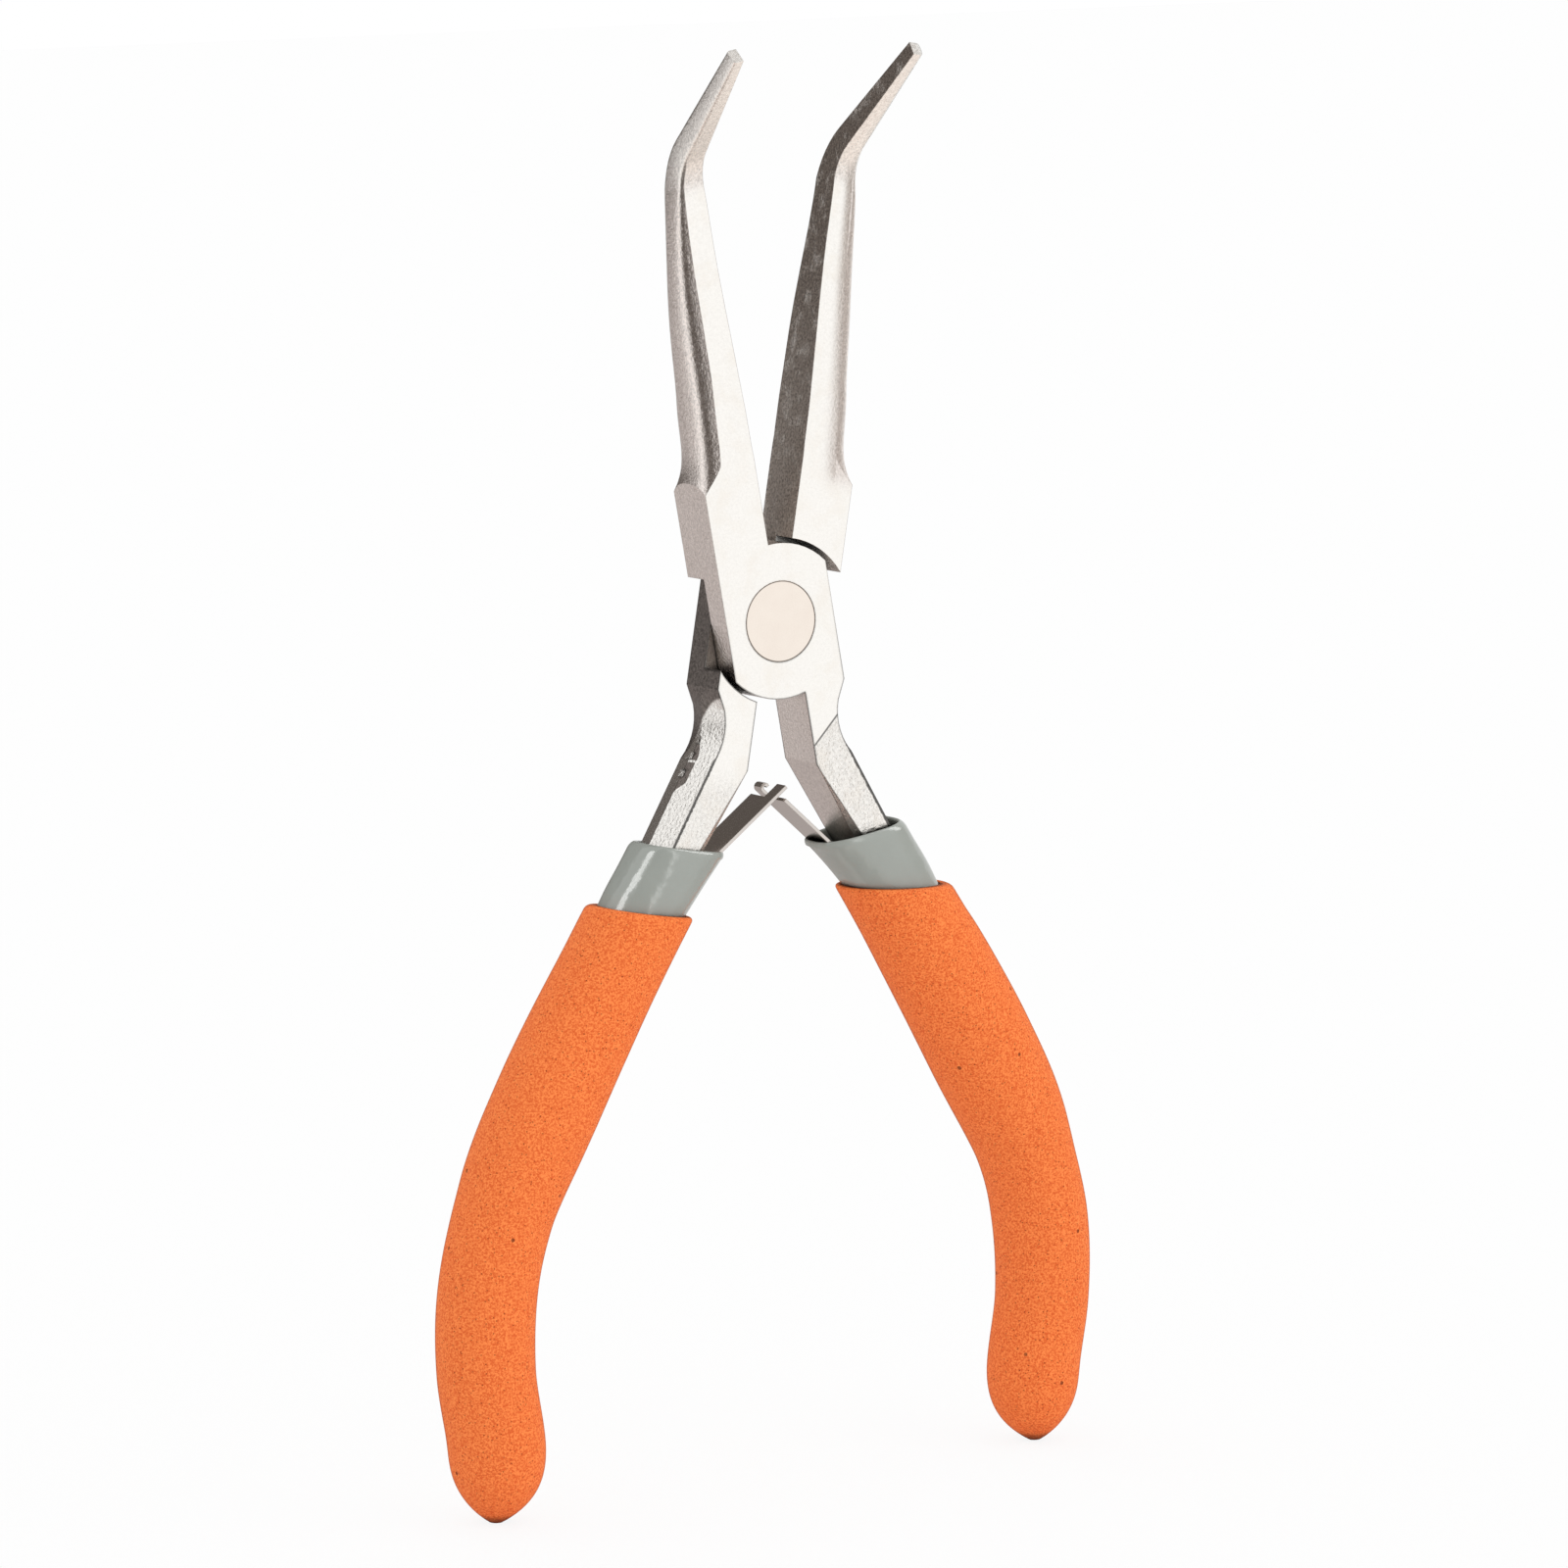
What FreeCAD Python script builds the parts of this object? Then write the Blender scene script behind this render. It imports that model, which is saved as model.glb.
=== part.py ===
"""Bent-nose spring pliers, 6-inch class, standing open at rest.

Units are millimetres.  The origin is the centre of the pivot rivet's front face, which is
flush with the front of the lap joint.  +Z runs up between the jaws, the pivot axis is Y, and
the jaw tips bend towards -Y (the front).

Each lever is drawn closed, about the joint's middle plane, with its gripping plane on x = 0
and its handle on the +X side.  It is mirrored for the rear lever, opened about the pivot, and
last moved back by half the joint's thickness.
"""
import FreeCAD, Part
import math
import os

V = FreeCAD.Vector
PIVOT_AXIS = V(0, 1, 0)
PIVOT = V(0, 0, 0)

# ---- driving dimensions ------------------------------------------------------------------
OPEN_HALF = 9.9            # each lever is opened by this angle from the closed pose, degrees
JOINT_T = 6.2              # thickness across the lap joint
JOINT_W = 13.0             # width of the lap joint
BOSS_R = 8.15              # round ends of each half plate
POCKET_R = 8.7             # pocket of one lever that the other lever's boss turns in
LAP_GAP = 0.03             # each half plate stands this far off the middle plane
GRIP_GAP = 0.02            # each gripping face stands this far off x = 0 when closed

RIVET_SHANK_R = 2.5
RIVET_HEAD_R = 4.22
RIVET_HEAD_T = 1.2
RIVET_RUN = 0.04           # running clearance round the rivet, radial and axial
RIVET_FIT = 0.02           # clearance on the side where the rivet is clenched

BEND_START = 46.0          # height where the straight jaw ends and the bent nose begins
BEND_R = 5.0               # radius of the bend on the front of the jaw
BEND_ANGLE = 46.0          # degrees
NOSE_LENGTH = 14.2         # straight length of the nose after the bend
NOSE_END_T = 1.65          # thickness of the nose at its end
NOSE_END_W = 1.15          # width of the nose at its end
NOSE_END_SHOULDER = 0.3
SHOULDER_TOP = 13.0        # the square shoulder block runs up to here

SHANK_INNER = 1.55         # gap from the closed centre plane to the inner wall of the shank
SHANK_KINK_Z = -15.8       # where the inner wall turns outward
SHANK_END_Z = -27.0        # the forged shank steps down to the tang below the sleeve mouth
SHANK_OUTER_END = 10.3     # outward reach of the shank's outer edge at that level
SHANK_TURN = 21.9          # angle of the inner wall below the kink, degrees from vertical
DRAFT_BULGE = 0.72         # how far the parting line stands out beyond the front and back edges
PARTING_Y = 0.4            # the parting line lies this far behind the middle plane
BEVEL_LENGTH = 13.0        # bevel along the shank's front inner edge, growing downwards
BEVEL_TOP = 0.25
BEVEL_LOW = 1.5
STEP_HIGH = (4.75, -11.5)  # the ground front face of the front lever ends on a slanted line
STEP_LOW = (1.5, -13.95)   # between these two points; below it the as-forged face is lower
STEP_REACH = 18.0
STEP_DEPTH = 0.45          # depth of the as-forged face at the far end of that reach
FLASH_MARKS = [(5.95, -13.3, 4.0), (6.45, -15.0, 15.0), (7.2, -16.9, 24.0)]  # x, z, tilt
FLASH_DEPTH = 0.22
FLASH_HALF = 0.42          # half height of one mark

LEAF_T = 0.36
LEAF_W = 4.3
LEAF_SEAT = 0.02           # clearance between leaf and tang
LEAF_END_Z = -38.5
LEAF_RIVET_Z = -35.0
LEAF_RIVET_R = 0.9
LEAF_RIVET_HEAD_R = 1.5
LEAF_RIVET_HEAD_T = 0.6
LEAF_RIVET_DEPTH = 2.2

SLEEVE_TOP_Z = -24.5       # level of the dipped sleeve's open mouth
SLEEVE_END_Z = -92.5
FOAM_TOP_Z = -31.6         # level of the foam grip's upper edge
TANG_END_Z = -90.0
TANG_REACH = 1.75          # reach of the tang each way from the handle line
TANG_HALF_DEPTH = 2.85
TANG_HEIGHTS = [(-25.5, 2.75), (-36.0, 2.85), (-42.0, 2.7), (-50.0, 1.9), (-62.0, 1.75),
                (-72.0, 1.75), (-82.0, 1.75), (TANG_END_Z, 1.75)]  # height, inner reach
FIT = 0.03                 # clearance between tang, sleeve and foam

# Per lever: reach of the sleeve's mouth towards the leaf and away from it.
MOUTHS = {"rear": {"lip": 5.1, "outer": 3.75}, "front": {"lip": 5.85, "outer": 4.15}}

# Per lever: where the leaf crosses the sleeve mouth, its angle, its length from there to the
# crossing and past it, and the part of its width that the narrow end keeps.
LEAVES = {
    "rear": {"mouth_x": 2.91, "angle": 43.2, "cross": 9.1, "prong": 1.1, "prong_y": (-2.15, -0.5)},
    "front": {"mouth_x": 2.12, "angle": 38.1, "cross": 8.2, "prong": 0.2, "prong_y": (0.8, 2.15)},
}
HOOK_R = 0.36              # the front lever's leaf ends in a tight upward curl
HOOK_TURN = 210.0          # degrees
HOOK_STEPS = 7

# Middle line of the handle below the joint, closed pose: (outward x, z).
HANDLE_LINE = [
    (6.9, -23.5), (12.2, -36.2), (18.0, -51.6), (21.2, -62.0),
    (22.2, -70.5), (21.0, -80.5), (18.4, -88.6), (17.3, -96.3),
]
HANDLE_LEAN = 0.0104       # the handles lean back by this much per millimetre below the joint
LEAN_START_Z = -20.0

# Jaw stations: height, front face y, back face y, width, width of the rounded shoulder.
JAW_STATIONS = [
    (11.5, -5.3, 5.3, 10.8, 1.8),
    (14.6, -3.8, 3.8, 7.3, 1.8),
    (17.2, -3.13, 3.15, 6.05, 1.9),
    (20.0, -2.98, 3.05, 5.6, 1.85),
    (25.0, -2.78, 3.02, 5.22, 1.85),
    (31.0, -2.38, 2.85, 4.83, 1.8),
    (37.0, -2.0, 2.3, 4.27, 1.45),
    (41.5, -1.93, 1.8, 3.72, 1.05),
    (46.0, -1.87, 1.6, 2.95, 0.6),
]
# Nose stations after the bend starts: share of the bend angle, thickness, width, shoulder.
BEND_STATIONS = [(0.33, 3.1, 2.68, 0.5), (0.66, 2.82, 2.48, 0.45), (1.0, 2.6, 2.3, 0.4)]


# ---- small helpers -----------------------------------------------------------------------
def line(a, b):
    return Part.makeLine(a, b)


def arc(a, mid, b):
    return Part.Arc(a, mid, b).toShape()


def polyline(points):
    return [line(a, b) for a, b in zip(points, points[1:])]


def flat_prism(edges, y_low, y_high):
    """Closed outline in the XZ plane (its edges at y = 0) swept from y_low to y_high."""
    face = Part.Face(Part.Wire(edges))
    face.translate(V(0, y_low, 0))
    return face.extrude(V(0, y_high - y_low, 0))


def box(low, high):
    size = high - low
    return Part.makeBox(size.x, size.y, size.z, low)


def cylinder_y(radius, y_low, y_high):
    return Part.makeCylinder(radius, y_high - y_low, V(0, y_low, 0), PIVOT_AXIS)


def on_circle(radius, x, sign=1):
    """Point on a circle about the pivot at the given x, on its upper (1) or lower (-1) half."""
    return V(x, 0, sign * math.sqrt(radius ** 2 - x ** 2))


def mirror_x(shape):
    return shape.mirror(PIVOT, V(1, 0, 0))


def opened(shape, lever):
    """Turn a closed-pose shape to the open rest pose; the rear lever is the mirrored one."""
    if lever == "rear":
        shape = mirror_x(shape)
        turn = OPEN_HALF
    else:
        turn = -OPEN_HALF
    shape.rotate(PIVOT, PIVOT_AXIS, turn)
    return shape


# ---- jaw ---------------------------------------------------------------------------------
def jaw_section(front, along_back, width, shoulder, thickness):
    """Wire of one jaw section: flat gripping side, flat front and back, rounded outer flank.

    front is the gripping-side front corner and along_back the direction from front to back.
    """
    out = V(-1, 0, 0)

    def at(a, b):
        return front + out * a + along_back * b

    flat = width - shoulder
    half = thickness / 2
    front_curve = Part.BezierCurve()
    front_curve.setPoles([at(flat, 0), at(flat + 0.82 * shoulder, 0.21 * shoulder),
                          at(width, 0.42 * shoulder), at(width, half)])
    back_curve = Part.BezierCurve()
    back_curve.setPoles([at(width, half), at(width, thickness - 0.42 * shoulder),
                         at(flat + 0.82 * shoulder, thickness - 0.21 * shoulder),
                         at(flat, thickness)])
    edges = [
        line(at(0, 0), at(flat, 0)),
        front_curve.toShape(),
        back_curve.toShape(),
        line(at(flat, thickness), at(0, thickness)),
        line(at(0, thickness), at(0, 0)),
    ]
    return Part.Wire(edges)


def straight_jaw():
    wires = []
    for height, y_front, y_back, width, shoulder in JAW_STATIONS:
        front = V(-GRIP_GAP, y_front, height)
        wires.append(jaw_section(front, V(0, 1, 0), width, shoulder, y_back - y_front))
    envelope = Part.makeLoft(wires, True, False)
    stock = box(V(-JOINT_W / 2, -JOINT_T / 2, 0), V(0, JOINT_T / 2, BEND_START + 1))
    return envelope.common(stock)


def bent_nose():
    """The nose: the last jaw section carried round the bend, then tapered to its end."""
    height, y_front, y_back, width, shoulder = JAW_STATIONS[-1]
    centre = V(-GRIP_GAP, y_front - BEND_R, height)
    stations = [(0.0, y_back - y_front, width, shoulder)] + BEND_STATIONS
    wires = []
    for share, thickness, station_width, station_shoulder in stations:
        angle = math.radians(BEND_ANGLE * share)
        outward = V(0, math.cos(angle), math.sin(angle))
        front = centre + outward * BEND_R
        wires.append(jaw_section(front, outward, station_width, station_shoulder, thickness))
    bend = Part.makeLoft(wires, True, False)
    angle = math.radians(BEND_ANGLE)
    outward = V(0, math.cos(angle), math.sin(angle))
    forward = V(0, -math.sin(angle), math.cos(angle))
    start = centre + outward * BEND_R
    end = start + forward * NOSE_LENGTH
    end_wire = jaw_section(end, outward, NOSE_END_W, NOSE_END_SHOULDER, NOSE_END_T)
    nose = Part.makeLoft([wires[-1], end_wire], True, True)
    return bend.fuse(nose)


# ---- lap joint and shank -----------------------------------------------------------------
def joint_block():
    """Outline of the lap joint at full thickness, from the shoulder down to the shank."""
    half = JOINT_W / 2
    grip_top = V(-GRIP_GAP, 0, SHOULDER_TOP)
    boss_in = on_circle(BOSS_R, -GRIP_GAP)
    boss_right = on_circle(BOSS_R, half)
    low_right = V(half, 0, -7.8)
    low_left = V(SHANK_INNER, 0, -9.5)
    inner = on_circle(BOSS_R, SHANK_INNER, -1)
    boss_left = on_circle(BOSS_R, -half, -1)
    top_left = V(-half, 0, SHOULDER_TOP)
    mid_top = on_circle(BOSS_R, half / 2)
    mid_low = on_circle(BOSS_R, -half / 2, -1)
    edges = [line(grip_top, boss_in), arc(boss_in, mid_top, boss_right)]
    edges += polyline([boss_right, low_right, V(5.45, 0, -9.5), low_left, inner])
    edges += [arc(inner, mid_low, boss_left)]
    edges += polyline([boss_left, top_left, grip_top])
    return flat_prism(edges, -JOINT_T / 2, JOINT_T / 2)


def shank_wire(y, bulge):
    """Outline of the shank at depth y; bulge moves its outer edge out at the parting line."""
    drop = SHANK_KINK_Z - SHANK_END_Z
    kink = V(SHANK_INNER, y, SHANK_KINK_Z)
    inner_end = kink + V(drop * math.tan(math.radians(SHANK_TURN)), 0, -drop)
    top_outer = V(JOINT_W / 2, y, -7.0)
    corner = V(JOINT_W / 2, y, -7.8)
    neck_top = V(5.4 + bulge, y, -9.8)
    neck = V(5.0 + bulge, y, -12.4)
    neck_low = V(6.0 + bulge, y, -15.5)
    outer_end = V(SHANK_OUTER_END + bulge, y, SHANK_END_Z)
    top_inner = V(SHANK_INNER, y, -7.0)
    edges = polyline([top_outer, corner, neck_top])
    edges += [arc(neck_top, neck, neck_low)]
    edges += polyline([neck_low, outer_end, inner_end, kink, top_inner, top_outer])
    return Part.Wire(edges)


def shank():
    """Forged shank with draft on its outer side, widest along the parting line."""
    half = JOINT_T / 2
    levels = [(-half, 0.0), (PARTING_Y, DRAFT_BULGE), (half, 0.0)]
    return Part.makeLoft([shank_wire(y, bulge) for y, bulge in levels], True, True)


def inner_bevel():
    """Wedge that bevels the front inner edge of the shank below the kink."""
    proud = 0.2
    start = V(SHANK_INNER - proud, -JOINT_T / 2 - proud, SHANK_KINK_Z + 0.3)
    turn = math.radians(SHANK_TURN)
    down = V(math.sin(turn), 0, -math.cos(turn))
    into = V(math.cos(turn), 0, math.sin(turn))
    end = start + down * BEVEL_LENGTH
    lead = end - into * 3 * proud
    small = Part.makePolygon([start, start + into * BEVEL_TOP, start + V(0, BEVEL_TOP, 0), start])
    large = Part.makePolygon([lead, end + into * BEVEL_LOW, end + V(0, BEVEL_LOW, 0), lead])
    return Part.makeLoft([small, large], True, True)


def forged_step():
    """Stock taken off the front of the shank below the ground face, deeper further down."""
    front_y = -JOINT_T / 2
    high = V(STEP_HIGH[0], front_y, STEP_HIGH[1])
    low = V(STEP_LOW[0], front_y, STEP_LOW[1])
    edge = high - low
    reach = V(edge.z, 0, -edge.x).normalize() * STEP_REACH
    front = V(0, -1, 0)
    start = low - edge
    section = [start, start + reach + V(0, STEP_DEPTH, 0), start + reach + front,
               start + front, start]
    profile = Part.Face(Part.makePolygon(section))
    return profile.extrude(edge * 3)


def flash_marks():
    """Shallow trimming notches on the outer back edge of the shank."""
    marks = []
    for x, z, tilt in FLASH_MARKS:
        mark = box(V(-FLASH_DEPTH, 0.1, -FLASH_HALF), V(1.2, JOINT_T, FLASH_HALF))
        mark.rotate(PIVOT, PIVOT_AXIS, -tilt)
        mark.translate(V(x, 0, z))
        marks.append(mark)
    return marks


def handle_curve():
    curve = Part.BSplineCurve()
    points = []
    for x, z in HANDLE_LINE:
        points.append(V(x, HANDLE_LEAN * max(0.0, LEAN_START_Z - z), z))
    curve.interpolate(points)
    return curve


def handle_frame(curve, z):
    """Point of the handle line at height z, with its downward and outward directions."""
    low, high = curve.FirstParameter, curve.LastParameter
    for _ in range(40):
        middle = (low + high) / 2
        if curve.value(middle).z > z:
            low = middle
        else:
            high = middle
    down = curve.tangent(low)[0]
    down = V(down.x, 0, down.z).normalize()
    outward = V(-down.z, 0, down.x)
    return curve.value(low), down, outward


def oval(curve, z, outer, inner, depth, squareness):
    """Closed superellipse across the handle at height z.

    outer and inner are its reach away from and towards the other handle, depth its half
    thickness along Y, and squareness 2 for an ellipse or more for fuller corners.
    """
    point, _, outward = handle_frame(curve, z)
    points = []
    steps = 20
    for i in range(steps):
        turn = 2 * math.pi * i / steps
        c, s = math.cos(turn), math.sin(turn)
        reach = outer if c > 0 else inner
        a = math.copysign(abs(c) ** (2 / squareness), c) * reach
        b = math.copysign(abs(s) ** (2 / squareness), s) * depth
        points.append(point + outward * a + V(0, b, 0))
    loop = Part.BSplineCurve()
    loop.interpolate(points, True)
    return Part.Wire(loop.toShape())


def oval_loft(curve, stations, grow=0.0):
    wires = []
    for z, outer, inner, depth, squareness in stations:
        wires.append(oval(curve, z, outer + grow, inner + grow, depth + grow, squareness))
    return Part.makeLoft(wires, True, False)


def tang_stations():
    """Stations of the tang; its inner side is full near the top, where the leaf is seated."""
    stations = []
    for z, inner in TANG_HEIGHTS:
        narrow = 1.0 - 0.25 * (TANG_HEIGHTS[0][0] - z) / (TANG_HEIGHTS[0][0] - TANG_END_Z)
        stations.append((z, TANG_REACH * narrow, inner * narrow, TANG_HALF_DEPTH * narrow, 3.0))
    return stations


def sleeve_stations(name):
    """Stations of the sleeve's outside; its mouth flares towards the leaf."""
    lip = MOUTHS[name]["lip"]
    outer = MOUTHS[name]["outer"]
    return [
        (-22.5, outer - 0.2, lip + 0.25, 3.85, 2.5),
        (-25.5, outer, lip, 3.9, 2.5),
        (-31.0, 4.1, 4.3, 4.0, 2.4),
        (-36.0, 3.9, 3.9, 3.9, 2.3),
        (-50.0, 3.7, 3.7, 3.7, 2.2),
        (-62.0, 3.6, 3.6, 3.6, 2.2),
        (-72.0, 3.55, 3.55, 3.55, 2.2),
        (-82.0, 3.4, 3.4, 3.4, 2.2),
        (SLEEVE_END_Z, 2.6, 2.6, 2.6, 2.2),
    ]


FOAM_STATIONS = [
    (-29.5, 5.2, 5.2, 5.2, 2.1),
    (-33.5, 5.35, 5.35, 5.3, 2.1),
    (-42.0, 5.5, 5.5, 5.4, 2.1),
    (-51.0, 5.75, 5.75, 5.5, 2.1),
    (-57.5, 5.6, 5.6, 5.4, 2.1),
    (-63.0, 5.15, 5.15, 5.2, 2.1),
    (-70.0, 5.1, 5.1, 5.1, 2.1),
    (-80.0, 5.05, 5.05, 5.05, 2.1),
    (-87.0, 4.9, 4.9, 4.9, 2.1),
    (-91.5, 4.3, 4.3, 4.3, 2.1),
    (-94.4, 2.9, 2.9, 2.9, 2.0),
    (-95.8, 1.2, 1.2, 1.2, 2.0),
]


def above(z):
    return box(V(-60, -30, z), V(60, 30, z + 40))


# ---- leaf spring geometry ----------------------------------------------------------------
def inner_wall_x(z):
    """x of the shank's inner wall, carried on down as the seat line of the leaf."""
    return SHANK_INNER + (SHANK_KINK_Z - z) * math.tan(math.radians(SHANK_TURN))


def leaf_line(lever):
    """Corner points of the leaf's middle line: anchored end, bend, crossing, tip."""
    leaf = LEAVES[lever]
    slope = math.tan(math.radians(leaf["angle"]))
    seat_slope = math.tan(math.radians(SHANK_TURN))
    turn = math.radians(SHANK_TURN)
    stand_off = (LEAF_T / 2 + LEAF_SEAT) / math.cos(turn)
    mouth = V(leaf["mouth_x"], 0, SLEEVE_TOP_Z)
    seat_at_mouth = inner_wall_x(SLEEVE_TOP_Z) - stand_off
    fall = (seat_at_mouth - mouth.x) / (slope - seat_slope)
    bend = V(mouth.x + slope * fall, 0, SLEEVE_TOP_Z - fall)
    end = V(inner_wall_x(LEAF_END_Z) - stand_off, 0, LEAF_END_Z)
    free = V(-math.sin(math.radians(leaf["angle"])), 0, math.cos(math.radians(leaf["angle"])))
    crossing = mouth + free * leaf["cross"]
    tip = crossing + free * leaf["prong"]
    return end, bend, crossing, tip, free


def strip(points, thickness, y_low, y_high):
    """Bent strip: a middle line in the XZ plane given a thickness, swept along Y."""
    left, right = [], []
    for i, point in enumerate(points):
        before = points[max(i - 1, 0)]
        after = points[min(i + 1, len(points) - 1)]
        first = (point - before).normalize() if i > 0 else (after - point).normalize()
        second = (after - point).normalize() if i < len(points) - 1 else first
        middle = (first + second).normalize()
        side = V(-middle.z, 0, middle.x)
        reach = thickness / 2 / max(0.3, middle.dot(first))
        left.append(point + side * reach)
        right.append(point - side * reach)
    outline = left + right[::-1]
    return flat_prism(polyline(outline + outline[:1]), y_low, y_high)


def hook_points(tip, free):
    """Tight upward curl at the end of the front lever's leaf."""
    across = V(free.z, 0, -free.x)
    centre = tip + across * HOOK_R
    points = []
    for step in range(1, HOOK_STEPS + 1):
        turn = math.radians(HOOK_TURN * step / HOOK_STEPS)
        points.append(centre + (free * math.sin(turn) - across * math.cos(turn)) * HOOK_R)
    return points


def leaf_spring(lever):
    leaf = LEAVES[lever]
    end, bend, crossing, tip, free = leaf_line(lever)
    shoulder = crossing - free * 0.9
    half = LEAF_W / 2
    body = strip([end, bend, shoulder], LEAF_T, -half, half)
    points = [shoulder - free * 0.4, tip]
    if lever == "front":
        points += hook_points(tip, free)
    prong = strip(points, LEAF_T, *leaf["prong_y"])
    seat, into_tang = leaf_rivet_axis()
    hole = Part.makeCylinder(LEAF_RIVET_R + RIVET_FIT, 4, seat - into_tang * 2, into_tang)
    return body.fuse(prong).cut(hole).removeSplitter()


def leaf_rivet_axis():
    """Where the small rivet crosses the tang's inner wall, and its direction into the tang."""
    turn = math.radians(SHANK_TURN)
    return V(inner_wall_x(LEAF_RIVET_Z), 0, LEAF_RIVET_Z), V(math.cos(turn), 0, math.sin(turn))


def leaf_rivet():
    seat, into_tang = leaf_rivet_axis()
    under_head = seat - into_tang * (LEAF_T + 2 * LEAF_SEAT)
    shank_length = LEAF_RIVET_DEPTH + LEAF_T + 2 * LEAF_SEAT
    pin = Part.makeCylinder(LEAF_RIVET_R, shank_length, under_head, into_tang)
    head = Part.makeCylinder(LEAF_RIVET_HEAD_R, LEAF_RIVET_HEAD_T, under_head, into_tang * -1)
    return head.fuse(pin).removeSplitter()


def leaf_pocket(lever):
    """Room inside the sleeve for the leaf, its small rivet and the leaf's flexing."""
    end, bend, _, _, free = leaf_line(lever)
    mouth = bend + free * 12
    half = LEAF_W / 2 + 0.2
    slack = 0.35 + LEAF_T / 2
    turn = math.radians(SHANK_TURN)
    inward = V(-math.cos(turn), 0, -math.sin(turn))
    low = end + V(0.3, 0, -0.6)
    outline = [low - inward * 0.6, low + inward * slack, bend + inward * slack,
               mouth + inward * slack, mouth - inward * 6.5, bend - inward * 0.6]
    room = flat_prism(polyline(outline + outline[:1]), -half, half)
    seat, into_tang = leaf_rivet_axis()
    head_room = Part.makeCylinder(LEAF_RIVET_HEAD_R + 0.1, LEAF_RIVET_HEAD_T + LEAF_T + 0.2,
                                  seat, into_tang * -1)
    return room.fuse(head_room)


# ---- pieces ------------------------------------------------------------------------------
def tang(curve):
    """Steel core inside the grip, with a flat seat for the leaf on its inner side."""
    core = oval_loft(curve, tang_stations())
    seat_top = V(inner_wall_x(-20.0), 0, -20.0)
    seat_low = V(inner_wall_x(-60.0), 0, -60.0)
    edges = polyline([seat_top, seat_low, seat_low - V(20, 0, 0), seat_top - V(20, 0, 0), seat_top])
    return core.cut(flat_prism(edges, -10, 10))


def rivet_recess(front_fit, rear_fit):
    """Hole through a lever for the pivot rivet and its two sunk heads."""
    half = JOINT_T / 2
    hole = cylinder_y(RIVET_SHANK_R + max(front_fit, rear_fit), -half - 1, half + 1)
    front = cylinder_y(RIVET_HEAD_R + front_fit, -half - 1, -half + RIVET_HEAD_T + front_fit)
    rear = cylinder_y(RIVET_HEAD_R + rear_fit, half - RIVET_HEAD_T - rear_fit, half + 1)
    return hole.fuse([front, rear])


def lever(name, curve):
    """One forged lever, closed pose: the front lever's half plate is on the -Y side."""
    body = joint_block().fuse([straight_jaw(), bent_nose(), shank(), tang(curve)])
    half = JOINT_T / 2
    if name == "front":
        pocket = cylinder_y(POCKET_R, -LAP_GAP, half + 1)
        recess = rivet_recess(RIVET_FIT, RIVET_FIT)
    else:
        pocket = cylinder_y(POCKET_R, -half - 1, LAP_GAP)
        recess = rivet_recess(RIVET_RUN, RIVET_RUN)
    cuts = [pocket, recess, inner_bevel()] + flash_marks()
    if name == "front":
        cuts.append(forged_step())
    seat, into_tang = leaf_rivet_axis()
    start = seat - into_tang
    cuts.append(Part.makeCylinder(LEAF_RIVET_R + RIVET_FIT, LEAF_RIVET_DEPTH + 1.05, start,
                                  into_tang))
    return body.cut(cuts).removeSplitter()


def pivot_rivet():
    half = JOINT_T / 2
    shank_part = cylinder_y(RIVET_SHANK_R, -half, half)
    front = cylinder_y(RIVET_HEAD_R, -half, -half + RIVET_HEAD_T)
    rear = cylinder_y(RIVET_HEAD_R, half - RIVET_HEAD_T, half)
    return shank_part.fuse([front, rear]).removeSplitter()


def dip_sleeve(name, curve):
    """Dipped vinyl sleeve over the tang, open at its mouth where the leaf comes out."""
    skin = oval_loft(curve, sleeve_stations(name))
    steel = shank().fuse(tang(curve))
    core = oval_loft(curve, tang_stations(), FIT)
    room = shank_clearance()
    body = skin.cut([above(SLEEVE_TOP_Z), steel, core, room, leaf_pocket(name)])
    return body.removeSplitter()


def shank_clearance():
    """The forged shank's room in the sleeve, a little larger than the shank itself."""
    half = JOINT_T / 2 + FIT
    turn = math.radians(SHANK_TURN)
    inner = inner_wall_x(SHANK_END_Z) - FIT
    low_in = V(inner, 0, SHANK_END_Z - FIT)
    low_out = V(SHANK_OUTER_END + DRAFT_BULGE + FIT, 0, SHANK_END_Z - FIT)
    rise = V(-math.tan(turn), 0, 1) * 6
    edges = polyline([low_in, low_in + rise, low_out + rise, low_out, low_in])
    return flat_prism(edges, -half, half)


def foam_grip(name, curve):
    outside = oval_loft(curve, FOAM_STATIONS)
    inside = oval_loft(curve, sleeve_stations(name), FIT)
    return outside.cut([above(FOAM_TOP_Z), inside]).removeSplitter()


def export(node, shape):
    shape.translate(V(0, JOINT_T / 2, 0))
    solids = shape.Solids
    if len(solids) != 1 or not solids[0].isValid():
        raise ValueError("%s: %d solids, valid %s" % (node, len(solids), shape.isValid()))
    solids[0].exportStep("parts/%s.step" % node)
    print("%-18s %9.2f mm3" % (node, solids[0].Volume))


def main():
    os.makedirs("parts", exist_ok=True)
    curve = handle_curve()
    sides = {"front": "right", "rear": "left"}
    for name, side in sides.items():
        export("%s_lever" % name, opened(lever(name, curve), name))
        export("leaf_spring_%s" % side, opened(leaf_spring(name), name))
        export("leaf_rivet_%s" % side, opened(leaf_rivet(), name))
        export("dip_sleeve_%s" % side, opened(dip_sleeve(name, curve), name))
        export("foam_grip_%s" % side, opened(foam_grip(name, curve), name))
    rivet = pivot_rivet()
    rivet.rotate(PIVOT, PIVOT_AXIS, -OPEN_HALF)
    export("pivot_rivet", rivet)


main()
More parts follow.
